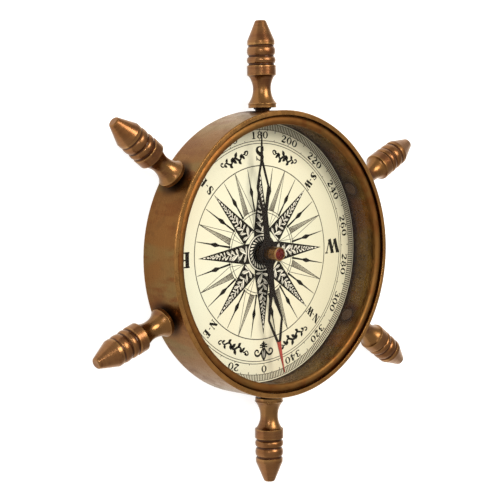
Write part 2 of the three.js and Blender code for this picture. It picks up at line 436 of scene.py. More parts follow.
def paper_look():
    """Cream card: slow warm drift, faint flecks, a fine tooth, and painted shade darkening it towards its
    west side.
    """
    look = Look("dial_paper")
    drift = look.noise(28.0, detail=2.0)
    fleck = look.noise(1400.0, detail=4.0, rough=0.65)
    tone = look.mix(look.span(drift, 0.35, 0.65), (0.75, 0.745, 0.575), (0.77, 0.72, 0.53))
    shaded_west = look.split()[0]
    # Painted shade: the card darkens towards its west side, +X.
    tone = look.mix(look.span(shaded_west, 2 * MM, 30 * MM, 0.0, 0.75), tone, (0.64, 0.60, 0.42))
    tone = look.mix(look.span(fleck, 0.60, 0.80, 0.0, 0.35), tone, (0.66, 0.58, 0.39))
    look.set(Base_Color=tone, Roughness=0.82, Specular_IOR_Level=0.25)
    look.bump(fleck, 0.01 * MM, 0.6)
    return look.material


def glass_look():
    """Clear flat glass: open to light, with a weak sharp reflection that grows towards grazing."""
    look = Look("window_glass")
    clear = look.node("BsdfTransparent").outputs[0]
    gloss = look.node("BsdfGlossy", {"Roughness": 0.03}).outputs[0]
    grazing = look.node("Fresnel", {"IOR": 1.3}).outputs[0]
    share = look.math("MULTIPLY", grazing, 0.25)
    mixed = look.node("MixShader", {0: share, 1: clear, 2: gloss})
    look.feed(look.output.inputs[0], mixed.outputs[0])
    look.tree.nodes.remove(look.shader)
    return look.material


BRASS_CASE = antique_brass(
    "case_brass", (0.142, 0.058, 0.014), (0.134, 0.078, 0.024), (0.110, 0.034, 0.007), (0.41, 0.200, 0.062),
    rough=0.27, rub_from=CASE_TOP - 0.35, hollow=True,
)
BRASS_RING = antique_brass(
    "ring_brass", (0.165, 0.066, 0.017), (0.150, 0.072, 0.020), (0.135, 0.043, 0.011), (0.26, 0.120, 0.032),
    rough=0.46, rub_from=RING_TOP - 0.16, darkening_share=0.25, dark=(0.070, 0.018, 0.005),
)
BRASS_HANDLE = antique_brass(
    "handle_brass", (0.165, 0.062, 0.016), (0.190, 0.081, 0.027), (0.122, 0.040, 0.012), (0.40, 0.215, 0.068),
    rough=0.30, pitch=0.0004, darkening_share=0.85, dark=(0.040, 0.011, 0.003), coat=0.26, golden=True,
)
BRASS_STUD = stud_look()
BRASS_CAP = antique_brass(
    "cap_brass", (0.30, 0.135, 0.030), (0.29, 0.15, 0.035), (0.26, 0.095, 0.022), (0.52, 0.30, 0.10),
    rough=0.30, coat=0.6,
)
# Painted shade: the boss is near black-brown for the shadow of the needle's hub over it.
SHADED_BOSS_BRASS = antique_brass(
    "boss_brass_painted_shade", (0.035, 0.018, 0.008), (0.033, 0.020, 0.009), (0.035, 0.014, 0.006), (0.08, 0.045, 0.018),
    rough=0.45,
)
BRASS_PLATE = plain("plate_brass", (0.36, 0.24, 0.11), 0.5, metallic=1.0)
STEEL = plain("pin_steel", (0.55, 0.54, 0.52), 0.3, metallic=1.0)
BLACK = plain("blade_black", (0.010, 0.007, 0.005), 0.58, change=0.3, specular=0.08)
RED = plain("north_red", (0.32, 0.046, 0.028), 0.5, specular=0.25)
RUBBER = plain("gasket_black", (0.02, 0.02, 0.018), 0.8)
PAPER = paper_look()
GLASS = glass_look()
INK = plain("ink_black", (0.010, 0.008, 0.005), 0.8, change=0.35, specular=0.1)
INK_GREY = plain("ink_grey", (0.068, 0.052, 0.034), 0.8, change=0.2, specular=0.1)
INK_MID = plain("ink_mid", (0.040, 0.036, 0.026), 0.8, change=0.2, specular=0.1)
LEAF = plain("leaf_cream", (0.84, 0.80, 0.66), 0.85, change=0.08, specular=0.2)
LEAF_GREY = plain("leaf_grey", (0.34, 0.32, 0.26), 0.85, change=0.15, specular=0.2)


def jewel_look():
    """Dark red stone, clouded and a little worn."""
    look = Look("jewel_red")
    cloud = look.noise(700.0, detail=2.0)
    look.set(
        Base_Color=look.mix(look.span(cloud, 0.3, 0.7), (0.060, 0.004, 0.002), (0.140, 0.010, 0.004)),
        Roughness=look.span(cloud, 0.3, 0.7, 0.26, 0.34),
        Specular_IOR_Level=0.16,
    )
    return look.material


JEWEL = jewel_look()


# ---------------- case, ring, glass


def bored(obj, borers):
    """Cuts the given solids out of a piece, then removes them."""
    for borer in borers:
        cut = obj.modifiers.new("bore", "BOOLEAN")
        cut.operation = "DIFFERENCE"
        cut.solver = "EXACT"
        cut.object = borer
    mesh = modified(obj)
    obj.modifiers.clear()
    obj.data = mesh
    mesh.set_sharp_from_angle(angle=math.radians(32))
    for borer in borers:
        bpy.data.objects.remove(borer)


def make_case():
    """The cup, with a bored hole for each stud."""
    chamfer, hole = 0.24, 2.04
    cup = turned(
        "case_shell",
        [
            (0, 0), (CASE_R - 2 * chamfer, 0, 0.1), (CASE_R, 2 * chamfer, 0.15),
            (CASE_R, CASE_TOP - chamfer, 0.1), (CASE_R - chamfer, CASE_TOP, 0.08),
            (RECESS_R + 0.08, CASE_TOP, 0.05), (RECESS_R, CASE_TOP - 0.1, 0.06),
            (RECESS_R, LEDGE, 0.08), (CHAMBER_R, LEDGE, 0.08),
            (CHAMBER_R, FLOOR_TOP, 0.2), (0, FLOOR_TOP),
        ],
        BRASS_CASE, CASE, ["case_cup"], segments=240,
    )
    borers = []
    for seat in SEATS:
        start, direction, _ = axis_of("stud_" + seat)
        bm = bmesh.new()
        bmesh.ops.create_cone(
            bm, cap_ends=True, segments=48, radius1=hole * MM, radius2=hole * MM, depth=12 * MM
        )
        borers.append(linked("borer", mesh_from(bm, "borer")))
        stand_on(borers[-1], start, direction)
    bored(cup, borers)


def make_glazing():
    """The domed retaining ring, the glass under it and the seat ring under the glass."""
    inner, outer = 35.2, 37.48
    foot = RING_BOTTOM + 0.3
    middle, half, steps, fullness = (inner + outer) / 2, (outer - inner) / 2, 14, 0.8
    dome = []
    for k in range(steps + 1):
        turn = math.pi * k / steps
        rise = (RING_TOP - foot) * math.sin(turn) ** fullness
        dome.append((middle + half * math.cos(turn), foot + rise, 0))
    turned(
        "ring_domed",
        [(inner, RING_BOTTOM, 0.08), (RING_R, RING_BOTTOM, 0.05), (RING_R, foot, 0.05), *dome],
        BRASS_RING, CASE, ["retaining_ring"], segments=240, ring=True,
    )
    turned(
        "window_pane", slab(0, "glass"),
        GLASS, CASE, ["glass"], segments=180, radius=0.1,
    )
    turned(
        "pane_seat", slab(CHAMBER_R + 0.2, "glass_gasket"),
        RUBBER, CASE, ["glass_gasket"], segments=180, radius=0.04, ring=True,
    )


def make_dial_base():
    """The brass plate and the card on it, both with a hole for the boss."""
    bore = 1.05
    turned(
        "card_backing", slab(bore, "dial_plate"),
        BRASS_PLATE, CASE, ["dial_plate"], segments=180, radius=0.08, ring=True,
    )
    turned(
        "printed_card", slab(bore, "dial_card"),
        PAPER, CASE, ["dial_card"], segments=240, radius=0.05, ring=True,
    )


# ---------------- handles and studs


def bead(start, end, groove, crown):
    """A rounded bead between two grooves."""
    steps, fullness = 9, 0.45
    points = []
    for k in range(steps + 1):
        t = k / steps
        rise = math.sin(math.pi * t) ** fullness
        points.append((groove + (crown - groove) * rise, start + (end - start) * t, 0))
    return points


def catmull_rom(p, q, r, s, t):
    """The value at t on the way from q to r, on a smooth curve whose slopes heed p and s."""
    square = 2 * p - 5 * q + 4 * r - s
    cube = 3 * q - p - 3 * r + s
    return 0.5 * (2 * q + (r - p) * t + square * t**2 + cube * t**3)


def spline(knots, steps):
    """A smooth curve through the knots, each a tuple of numbers."""
    padded = [knots[0], *knots, knots[-1]]
    out = []
    for four in zip(padded, padded[1:], padded[2:], padded[3:]):
        for k in range(steps):
            out.append(tuple(catmull_rom(*values, k / steps) for values in zip(*four)))
    out.append(tuple(knots[-1]))
    return out


# Radius and height of the waisted neck, from the flange's edge through its waist to the collar.
NECK_KNOTS = [(3.80, 1.24), (3.12, 2.3), (2.64, 3.6), (2.45, 5.1), (2.6, 6.5), (3.10, 7.9), (3.55, 8.55)]


def make_handles():
    """Six turned handles, each standing off the wall on its own stud."""
    groove = 3.45
    shank, shoulder, tenon, shoulder_long, gap = 2.0, 2.4, 1.5, 0.4, 0.02
    for seat in SEATS:
        start, direction, length = axis_of("handle_" + seat)
        length /= MM
        section = [
            (0, 0), (3.72, 0, 0.1), (3.82, 0.1, 0.08), (3.82, 0.93, 0.04),
            (3.94, 0.99, 0.04), (3.94, 1.15, 0.05),
            *[(radius, height, 0) for radius, height in spline(NECK_KNOTS, 3)],
            (3.93, 8.77, 0.12), (3.93, 11.35, 0.14), (groove, 11.58, 0.05), (groove, 11.88, 0.05),
            *bead(11.92, 13.72, groove, 3.9),
            (groove - 0.05, 13.92, 0.03),
            *bead(14.1, 16.4, groove, 3.84),
            (groove, 16.52, 0.03), (groove, 16.78, 0.05), (3.72, 16.94, 0.1), (3.72, 18.0, 0.35),
            (1.52, length - 0.22, 0.3), (1.2, length, 0.2), (0, length),
        ]
        handle = turned(
            "spoke_" + seat, section,
            BRASS_HANDLE, CASE, ["handle_" + seat], segments=72,
        )
        stand_on(handle, start, direction)

        begin, along, full = axis_of("stud_" + seat)
        reach = (start - begin).dot(direction) / MM
        stud = turned(
            "neck_" + seat,
            [
                (0, 0), (shank, 0, 0.15), (shank, reach - shoulder_long, 0.03),
                (shoulder, reach - shoulder_long, 0.05), (shoulder, reach - gap, 0.05),
                (tenon, reach - gap, 0.03), (tenon, full / MM, 0.1), (0, full / MM),
            ],
            BRASS_STUD, CASE, ["stud_" + seat], segments=64,
        )
        stand_on(stud, begin, along)


# ---------------- needle


def make_pivot():
    """The boss through the card and the pointed steel pin in it."""
    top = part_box("pivot_base")[1].z / MM
    pin_low, pin_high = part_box("pivot_pin")
    bottom = pin_low.z / MM
    point = pin_high.z / MM
    bore, pin = 0.52, 0.5
    turned(
        "pivot_boss",
        [
            (bore, bottom), (1.0, bottom), (1.0, CARD_TOP + 0.02), (2.3, CARD_TOP + 0.02),
            (2.3, CARD_TOP + 0.55, 0.15), (1.15, top - 0.3, 0.1), (0.9, top, 0.05), (bore, top),
        ],
        SHADED_BOSS_BRASS, CASE, ["pivot_base"], segments=64, radius=0.04, ring=True,
    )
    turned(
        "pivot_point",
        [(0, bottom), (pin, bottom, 0.05), (pin, point - 1.1, 0.1), (0, point)],
        STEEL, CASE, ["pivot_pin"], segments=48, radius=0.03,
    )


# Half widths of the needle's arm and of the window in it, as (distance from the pin, half width).
ARM_OUTER = [
    (0.0, 1.9), (3.1, 1.8), (3.6, 1.45), (4.3, 1.2), (5.2, 1.05), (6.2, 1.0), (9.5, 0.97),
    (11.4, 1.0), (13.6, 1.6), (16.0, 2.18), (18.1, 2.68), (18.45, 2.74), (18.8, 2.68), (20.7, 2.1),
    (23.0, 1.42), (25.2, 0.68), (29.3, 0.38), (33.5, 0.07),
]
ARM_WINDOW = [(12.0, 0.0), (14.1, 0.7), (16.3, 1.42), (18.45, 2.1), (20.7, 1.36), (22.8, 0.68), (24.8, 0.0)]
RED_FROM = 24.9


def along_table(table, x):
    """The table's value at x, straight between its rows."""
    for (x0, y0), (x1, y1) in zip(table, table[1:]):
        if x0 <= x <= x1:
            return y0 + (y1 - y0) * (x - x0) / (x1 - x0)
    return 0.0


def make_blade():
    """Two arms as strips that split round their windows, thickened, bevelled and bent up."""
    low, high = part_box("needle_blade")
    bottom, rise = low.z / MM, (high.z - low.z) / MM
    thick, bend_from = 0.28, 10.0
    slimmer, slim_from, slim_over = 0.17, 11.0, 5.0  # of the south arm
    rise -= 0.3
    tip = ARM_OUTER[-1][0]
    inside_hub = 2.0
    table_places = {x for x, _ in ARM_OUTER + ARM_WINDOW if x > inside_hub}
    stations = sorted(table_places | {float(k) for k in range(2, 33, 2)})
    bm = bmesh.new()
    turn_to = axis_of("needle_blade")[1]
    north = turn_to if turn_to.y < 0 else -turn_to
    spin = Matrix.Rotation(math.atan2(north.y, north.x) - math.pi / 2, 3, "Z")

    def at(x, y):
        away = max(0.0, abs(y) - bend_from) / (tip - bend_from)
        place = Vector((x * MM, y * MM, (bottom + 0.01 + rise * away * away) * MM))
        return bm.verts.new(spin @ place)

    for side in (1, -1):
        rows = []
        for x in stations:
            share = min(1.0, max(0.0, (x - slim_from) / slim_over))
            slim = 1.0 if side > 0 else 1.0 - slimmer * share
            half = slim * along_table(ARM_OUTER, x)
            hole = slim * along_table(ARM_WINDOW, x)
            y = side * x
            left, right = at(-half * side, y), at(half * side, y)
            if hole > 0:
                rows.append((left, at(-hole * side, y), at(hole * side, y), right))
            else:
                middle = at(0, y)
                rows.append((left, middle, middle, right))
        for a, b in zip(rows, rows[1:]):
            for i in (0, 2):
                corners = [a[i], a[i + 1], b[i + 1], b[i]]
                face = bm.faces.new(list(dict.fromkeys(corners)))
                along = sum(abs((spin.inverted() @ v.co).y) for v in face.verts)
                painted = side > 0 and along / len(face.verts) > RED_FROM * MM
                face.material_index = 1 if painted else 0
    bmesh.ops.remove_doubles(bm, verts=bm.verts, dist=1e-7)
    bmesh.ops.recalc_face_normals(bm, faces=bm.faces)
    mesh = mesh_from(bm, "blade")
    mesh.materials.append(BLACK)
    mesh.materials.append(RED)
    obj = linked("blade_draft", mesh)
    solid = obj.modifiers.new("thickness", "SOLIDIFY")
    solid.thickness = thick * MM
    solid.offset = 1.0 if mesh.polygons[0].normal.z > 0 else -1.0
    bevel = obj.modifiers.new("edges", "BEVEL")
    bevel.width = 0.05 * MM
    bevel.segments = 2
    bevel.limit_method = "ANGLE"
    final = modified(obj)
    bpy.data.objects.remove(obj)
    piece("needle_arms", final, None, NEEDLE, ["needle_blade"], sharp=40)
    return bottom + thick


def make_needle():
    """The blade, its round hub, the brass cap through it and the jewel in the cap."""
    top = make_blade()
    cap_r, cap_bottom, cap_top = size_of("needle_cap")
    jewel_r, jewel_bottom, jewel_top = size_of("cap_jewel")
    bore, hub_in, hub_out = 1.2, 1.6, 3.6
    low, high = top - 0.30, top + 0.02
    turned(
        "needle_hub",
        [(hub_in, low), (hub_out, low, 0.1), (hub_out, high, 0.12), (hub_in, high, 0.03)],
        BLACK, NEEDLE, (), segments=64, radius=0.05, ring=True,
    )
    turned(
        "needle_cup",
        [
            (bore, cap_bottom), (1.55, cap_bottom), (1.55, top + 0.03, 0.02),
            (cap_r, top + 0.03, 0.06), (cap_r, cap_top - 0.18, 0.1),
            (cap_r - 0.14, cap_top, 0.08), (jewel_r + 0.02, cap_top, 0.05),
            (jewel_r + 0.02, jewel_bottom - 0.02, 0.02), (bore, jewel_bottom - 0.02, 0.02),
        ],
        BRASS_CAP, NEEDLE, ["needle_cap"], segments=64, radius=0.05, ring=True,
    )
    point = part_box("pivot_pin")[1].z / MM
    turned(
        "cap_stone",
        [
            (0, point + 0.05), (1.0, jewel_bottom), (jewel_r, jewel_bottom),
            (jewel_r, jewel_top - 0.2, 0.15), (1.1, jewel_top - 0.03, 0.6), (0, jewel_top),
        ],
        JEWEL, NEEDLE, ["cap_jewel"], segments=64, radius=0.05,
    )


# ---------------- the dial's print


class Print:
    """Thin closed solids on the card, in millimetres, raised from the card by a layer number."""

    STEP = 0.004

    def __init__(self):
        self.verts = []
        self.faces = []

    def heights(self, layer):
        return CARD_TOP + (layer - 1) * self.STEP, CARD_TOP + (layer + 0.6) * self.STEP

    def polygon(self, points, layer=1):
        area = sum(a[0] * b[1] - a[1] * b[0] for a, b in zip(points, points[1:] + points[:1]))
        if area < 0:
            points = points[::-1]
        low, high = self.heights(layer)
        n, base = len(points), len(self.verts)
        self.verts += [(x, y, low) for x, y in points] + [(x, y, high) for x, y in points]
        self.faces.append([base + n + i for i in range(n)])
        self.faces.append([base + i for i in reversed(range(n))])
        for i in range(n):
            j = (i + 1) % n
            self.faces.append([base + i, base + j, base + n + j, base + n + i])

    def strip(self, left, right, layer=1, closed=False):
        low, high = self.heights(layer)
        base, n = len(self.verts), len(left)
        for a, b in zip(left, right):
            self.verts += [(*a, low), (*b, low), (*a, high), (*b, high)]
        for i in range(n if closed else n - 1):
            p, q = base + 4 * i, base + 4 * ((i + 1) % n)
            self.faces += [
                [p + 3, q + 3, q + 2, p + 2], [p, q, q + 1, p + 1],
                [p, p + 2, q + 2, q], [p + 1, q + 1, q + 3, p + 3],
            ]
        if not closed:
            end = base + 4 * (n - 1)
            self.faces += [[base, base + 1, base + 3, base + 2], [end, end + 2, end + 3, end + 1]]

    def stroke(self, path, layer=1, closed=False):
        """A line of changing width through (x, y, width) points."""
        left, right = [], []
        n = len(path)
        for i, (x, y, width) in enumerate(path):
            before = path[i - 1] if closed or i > 0 else path[i]
            after = path[(i + 1) % n] if closed or i < n - 1 else path[i]
            dx, dy = after[0] - before[0], after[1] - before[1]
            size = math.hypot(dx, dy) or 1.0
            nx, ny = -dy / size * width / 2, dx / size * width / 2
            left.append((x + nx, y + ny))
            right.append((x - nx, y - ny))
        self.strip(left, right, layer, closed)

    def circle(self, radius, width, layer=1, steps=180):
        angles = [2 * math.pi * k / steps for k in range(steps)]
        path = [(radius * math.cos(a), radius * math.sin(a), width) for a in angles]
        self.stroke(path, layer, closed=True)

    def make(self, name, material):
        mesh = bpy.data.meshes.new(name)
        mesh.from_pydata([(x * MM, y * MM, z * MM) for x, y, z in self.verts], [], self.faces)
        return piece(name, mesh, material, CASE, (), sharp=30)


def polar(radius, degrees):
    """X and Y of a point on the dial."""
    a = math.radians(degrees)
    return radius * math.cos(a), radius * math.sin(a)


class Spot:
    """A local frame on the dial: x to the right and y up, placed at a point with a heading for up."""

    def __init__(self, x, y, up, scale=1.0):
        self.x, self.y, self.scale = x, y, scale
        a = math.radians(up)
        self.up = (math.cos(a), math.sin(a))

    def __call__(self, x, y, *rest):
        ux, uy = self.up
        return (
            self.x + self.scale * (x * uy + y * ux),
            self.y + self.scale * (y * uy - x * ux),
            *(w * self.scale for w in rest),
        )

    def all(self, points):
        return [self(*point) for point in points]


# Letter and figure strokes in a unit em: "lines" has (x0, y0, x1, y1, width) rows, "curve" has
# (x, y, width) points, and "ring" has its centre, its radii, and its width at the sides and top.
GLYPHS = {
    "0": [("ring", 0, 0.5, 0.235, 0.45, 0.14, 0.05)],
    "1": [
        ("lines", (0, 0.02, 0, 0.99, 0.14), (-0.2, 0.03, 0.2, 0.03, 0.06)),
        ("curve", (-0.19, 0.82, 0.03), (-0.09, 0.87, 0.06), (0.0, 0.96, 0.08)),
    ],
    "2": [
        (
            "curve", (-0.19, 0.70, 0.13), (-0.18, 0.82, 0.08), (-0.05, 0.94, 0.06), (0.14, 0.88, 0.10),
            (0.19, 0.72, 0.14), (0.08, 0.48, 0.10), (-0.08, 0.28, 0.06), (-0.23, 0.08, 0.05),
        ),
        (
            "curve", (-0.24, 0.07, 0.09), (-0.1, 0.09, 0.14), (0.1, 0.05, 0.13), (0.24, 0.12, 0.06),
            (0.26, 0.26, 0.04),
        ),
    ],
    "3": [
        (
            "curve", (-0.19, 0.76, 0.13), (-0.14, 0.90, 0.07), (0.02, 0.95, 0.06), (0.16, 0.82, 0.12),
            (0.13, 0.62, 0.10), (-0.04, 0.53, 0.04),
        ),
        (
            "curve", (-0.04, 0.53, 0.04), (0.14, 0.46, 0.10), (0.21, 0.26, 0.14), (0.10, 0.06, 0.08),
            (-0.06, 0.04, 0.05), (-0.19, 0.12, 0.09), (-0.20, 0.22, 0.13),
        ),
    ],
    "4": [(
        "lines", (0.10, 0.97, -0.28, 0.28, 0.055), (-0.30, 0.28, 0.30, 0.28, 0.07),
        (0.11, 0.02, 0.11, 0.97, 0.14), (-0.04, 0.03, 0.26, 0.03, 0.05),
    )],
    "6": [
        ("ring", 0, 0.29, 0.20, 0.25, 0.13, 0.05),
        (
            "curve", (0.19, 0.82, 0.12), (0.12, 0.93, 0.06), (-0.04, 0.90, 0.06), (-0.18, 0.64, 0.12),
            (-0.20, 0.32, 0.13),
        ),
    ],
    "8": [("ring", 0, 0.74, 0.165, 0.21, 0.10, 0.05), ("ring", 0, 0.27, 0.21, 0.24, 0.13, 0.05)],
    "S": [
        (
            "curve", (0.22, 0.68, 0.03), (0.19, 0.84, 0.06), (0.02, 0.95, 0.06), (-0.17, 0.86, 0.13),
            (-0.17, 0.67, 0.17), (0.02, 0.52, 0.20), (0.18, 0.34, 0.19), (0.17, 0.13, 0.12),
            (-0.02, 0.04, 0.06), (-0.19, 0.14, 0.06), (-0.25, 0.33, 0.03),
        ),
        ("lines", (0.22, 0.97, 0.23, 0.67, 0.045), (-0.24, 0.03, -0.25, 0.33, 0.045)),
    ],
    "W": [(
        "lines", (-0.42, 0.97, -0.20, 0.02, 0.17), (-0.20, 0.04, 0.02, 0.94, 0.05),
        (-0.02, 0.97, 0.20, 0.02, 0.17), (0.20, 0.04, 0.42, 0.97, 0.05),
        (-0.54, 0.97, -0.29, 0.97, 0.05), (-0.14, 0.97, 0.12, 0.97, 0.05),
        (0.32, 0.97, 0.53, 0.97, 0.05),
    )],
    "N": [(
        "lines", (-0.27, 0.02, -0.27, 0.97, 0.055), (-0.31, 0.95, 0.27, 0.03, 0.17),
        (0.27, 0.02, 0.27, 0.97, 0.055), (-0.39, 0.03, -0.15, 0.03, 0.05),
        (-0.42, 0.97, -0.24, 0.97, 0.05), (0.15, 0.97, 0.39, 0.97, 0.05),
    )],
    "E": [(
        "lines", (-0.12, 0.02, -0.12, 0.98, 0.18), (-0.28, 0.03, 0.25, 0.03, 0.055),
        (-0.28, 0.97, 0.23, 0.97, 0.055), (-0.1, 0.51, 0.12, 0.51, 0.05),
        (0.24, 0.02, 0.28, 0.29, 0.05), (0.22, 0.72, 0.24, 0.98, 0.05),
        (0.12, 0.41, 0.12, 0.62, 0.045),
    )],
    "-": [("lines", (-0.12, 0.42, 0.12, 0.42, 0.08))],
}


def write(ink, glyph, spot, wide, weight):
    """One glyph, its em box centred on the spot, stretched sideways and with heavier strokes."""

    def draw(path, closed=False):
        placed = [spot(wide * x, y - 0.5, weight * width) for x, y, width in path]
        ink.stroke(placed, closed=closed)

    for kind, *data in GLYPHS[glyph]:
        if kind == "lines":
            for x0, y0, x1, y1, width in data:
                draw([(x0, y0, width), (x1, y1, width)])
        elif kind == "curve":
            draw(spline(data, 5))
        else:
            cx, cy, rx, ry, side, top = data
            path = []
            for k in range(28):
                a = 2 * math.pi * k / 28
                width = top + (side - top) * math.cos(a) ** 2
                path.append((cx + rx * math.cos(a), cy + ry * math.sin(a), width))
            draw(path, closed=True)


def make_scale(ink, grey, mid):
    """The outer degree scale: a bar for each degree, ticks, and a figure every twenty degrees."""
    inner, outer, half_bar, tick = 33.85, 35.6, 0.25, 0.22
    for degree in range(360):
        corners = ((inner, -half_bar), (outer, -half_bar), (outer, half_bar), (inner, half_bar))
        grey.polygon([polar(radius, degree + aside) for radius, aside in corners])
    grey.circle(inner, 0.16)
    grey.circle(outer, 0.14)
    for degree in range(0, 360, 5):
        reach = 0.75 if degree % 10 == 0 else 0.4
        mid.stroke([(*polar(inner - reach, degree), tick), (*polar(inner, degree), tick)])
    for degree in range(0, 360, 10):
        mid.stroke([(*polar(30.8, degree), tick), (*polar(31.25, degree), tick)])
    height, place, pitch = 1.95, 32.4, 2.15
    for value in range(0, 360, 20):
        text = str(value)
        for i, glyph in enumerate(text):
            shift = (i - (len(text) - 1) / 2) * pitch
            azimuth = -90 - value - math.degrees(shift / place)
            write(ink, glyph, Spot(*polar(place, azimuth), azimuth, height), 1.5, 2.05)


def make_letters(ink):
    """S, W and E upright to a reader facing north, and the half points along their radii."""
    for glyph, azimuth, ring, weight in (("S", 90, 27.3, 1.3), ("W", 0, 27.2, 1.7), ("E", 180, 27.1, 1.7)):
        write(ink, glyph, Spot(*polar(ring, azimuth), -90, 4.1), 1.28, weight)
    ring, pitch, height = 27.1, 1.62, 2.45
    for text, azimuth, way in (("N-E", 225, 1), ("S-E", 135, 1), ("N-W", 315, -1), ("S-W", 45, -1)):
        for i, glyph in enumerate(text):
            place = polar(ring + (i - 1) * pitch * way, azimuth)
            write(ink, glyph, Spot(*place, azimuth + 180 - 90 * way, height), 1.0, 1.6)


def outline(start, end, width, steps, share, bow=0.0):
    """Points round a leaf: share gives its width along it, and bow bends it to its left."""
    (x0, y0), (x1, y1) = start, end
    dx, dy = x1 - x0, y1 - y0
    size = math.hypot(dx, dy)
    nx, ny = -dy / size, dx / size
    left, right = [], []
    for k in range(steps + 1):
        t = k / steps
        half = width / 2 * share(t)
        offset = bow * math.sin(math.pi * t)
        cx, cy = x0 + dx * t + nx * offset, y0 + dy * t + ny * offset
        left.append((cx + nx * half, cy + ny * half))
        right.append((cx - nx * half, cy - ny * half))
    return left + right[-2:0:-1]


def leaf(start, end, width, bow=0.0):
    """A pointed leaf, fullest near its start."""
    def share(t):
        return math.sin(math.pi * t) ** 0.8 * (1.25 - 0.5 * t)

    return outline(start, end, width, 7, share, bow)


def lobe(start, end, width):
    """A rounded lobe from a narrow foot at start to a full head at end."""
    def share(t):
        return math.sin(math.pi * t**1.7) ** 0.65 if 0 < t < 1 else 0.0

    return outline(start, end, width, 10, share)


# The four fronds of one node of foliage: side, and as shares of the step and of the room beside
# the middle, where the frond starts, how far it rises, how far out it reaches, and its width.
FRONDS = [
    (1, 0.00, 0.98, 0.95, 0.46), (-1, 0.06, 0.30, 1.00, 0.32),
    (-1, 0.46, 0.58, 0.74, 0.27), (1, 0.02, 0.06, 1.00, 0.20),
]


def make_point(azimuth, tip, foot, half, layer, black, cream, grey, veins, rng):
    """One foliage point of the rose: a dark kite with pale, uneven leaves along its middle."""
    spot = Spot(0, 0, azimuth)
    wide, rim, narrowest = 6.42, 0.30, 0.45
    kite = ((-half, foot), (half, foot), (half, wide), (0, tip), (-half, wide))
    black.polygon(spot.all(kite), layer)

    def room(y):
        return half * min(1.0, (tip - y) / (tip - wide)) - rim

    def frond(root, head, width):
        """A pale lobe with a grey side and two dark notches in its head."""
        (x0, y0), (x1, y1) = root, head
        size = math.hypot(x1 - x0, y1 - y0)
        nx, ny = -(y1 - y0) / size, (x1 - x0) / size

        def at(t, aside):
            return x0 + (x1 - x0) * t + nx * aside * width, y0 + (y1 - y0) * t + ny * aside * width

        cream.polygon(spot.all(lobe(root, head, width)), layer + 1)
        shaded = leaf(at(0.22, -0.14), at(0.82, -0.22), 0.30 * width)
        grey.polygon(spot.all(shaded), layer + 2)
        if width > 0.5:
            for aside, start in ((-0.16, 0.62), (0.20, 0.50)):
                cut = [(*spot(*at(start, aside * 0.7)), 0.04), (*spot(*at(1.04, aside)), 0.17 * width)]
                veins.stroke(cut, layer + 3)

    y = max(foot, 5.3) + 0.15
    side = 1
    while room(y) > narrowest:
        w = room(y)
        step = 0.98 * w + 0.50
        for way, begin, rise, reach, thick in FRONDS:
            turn = way * side
            uneven = rng.uniform(0.82, 1.18)
            width = max(0.24, thick * w * uneven)
            root = (-turn * 0.10 * w, y + begin * step)
            head_y = root[1] + rise * step * uneven
            out = min(reach * w, room(head_y)) - 0.30 * width
            frond(root, (turn * max(0.08, out), head_y), width)
        y += step
        side = -side
    while y < tip - 1.7:
        width = max(0.16, min(0.42, 1.1 * (room(y) + 0.1)))
        fleck = leaf((0.06 * side, y + 0.1), (-0.06 * side, y + 1.15), width)
        cream.polygon(spot.all(fleck), layer + 1)
        y += 1.3
        side = -side


def make_half_point(azimuth, tip, mid, hatch):
    """A slim point between the foliage ones: one half hatched, the other half left open."""
    spot = Spot(0, 0, azimuth)
    foot, wide, half, lines = 7.2, 12.1, 1.72, 8
    for side in (-1, 1):
        mid.stroke([spot(0, tip, 0.14), spot(side * half, wide, 0.16)])
    mid.stroke([spot(0, tip, 0.12), spot(0, foot, 0.14)])
    mid.stroke([spot(half, wide, 0.14), spot(0, foot, 0.14)])
    for k in range(lines):
        share = (k + 0.5) / lines
        x = -half * share
        top = wide + (tip - wide) * (1 - share)
        hatch.stroke([spot(x, wide - 0.2, 0.18), spot(x * 0.97, wide + (top - wide) * 0.97, 0.10)])


# One side of a hair ray, as (half width, distance from the centre).
RAY_SIDE = [(0.30, 11.6), (0.22, 15.6), (0.64, 17.1), (0.22, 18.6), (0.07, 23.6)]


def make_ray(azimuth, ink):
    """A hair ray with a small lozenge at its middle."""
    spot = Spot(0, 0, azimuth)
    right = [spot(x, y) for x, y in RAY_SIDE]
    left = [spot(-x, y) for x, y in reversed(RAY_SIDE)]
    ink.polygon(right + left)


def make_rose(black, ink, mid, hatch, cream, leaf_grey, veins):
    """The rings, hair rays, half points and foliage points, and the pale petals round the hub."""
    rng = random.Random(7)
    for radius, width in (
        (24.0, 0.26), (30.1, 0.19), (30.8, 0.19), (11.2, 0.20), (12.0, 0.20), (6.55, 0.18), (7.05, 0.18),
    ):
        mid.circle(radius, width)
    for k in range(16):
        make_ray(11.25 + 22.5 * k, ink)
    for k in range(8):
        make_half_point(22.5 + 45 * k, 24.0, mid, hatch)
    for k in range(4):
        make_point(45 + 90 * k, 23.75, 6.35, 2.66, 2, black, cream, leaf_grey, veins, rng)
    for k in range(4):
        make_point(90 * k, 22.7, 4.4, 2.74, 6, black, cream, leaf_grey, veins, rng)
    steps, petals = 96, 26
    black.polygon([polar(5.3, 360 * k / steps) for k in range(steps)], 10)
    cream.circle(4.9, 0.34, 11, steps)
    for k in range(petals):
        a = 360 * k / petals
        cream.polygon(lobe(polar(3.15, a), polar(4.42, a + 13), 0.48), 11)


# One side of the lily, as (x, y, width) points of its curled petal and of its tail.
LILY_CURL = [
    (0.25, -0.85, 0.40), (1.0, 0.35, 0.55), (1.9, 1.15, 0.60), (2.9, 1.0, 0.55),
    (3.3, 0.15, 0.48), (2.75, -0.45, 0.46), (2.05, -0.25, 0.44), (2.1, 0.35, 0.44),
]
LILY_TAIL = [(0.2, -1.2, 0.40), (0.85, -1.75, 0.46), (1.35, -1.55, 0.30)]


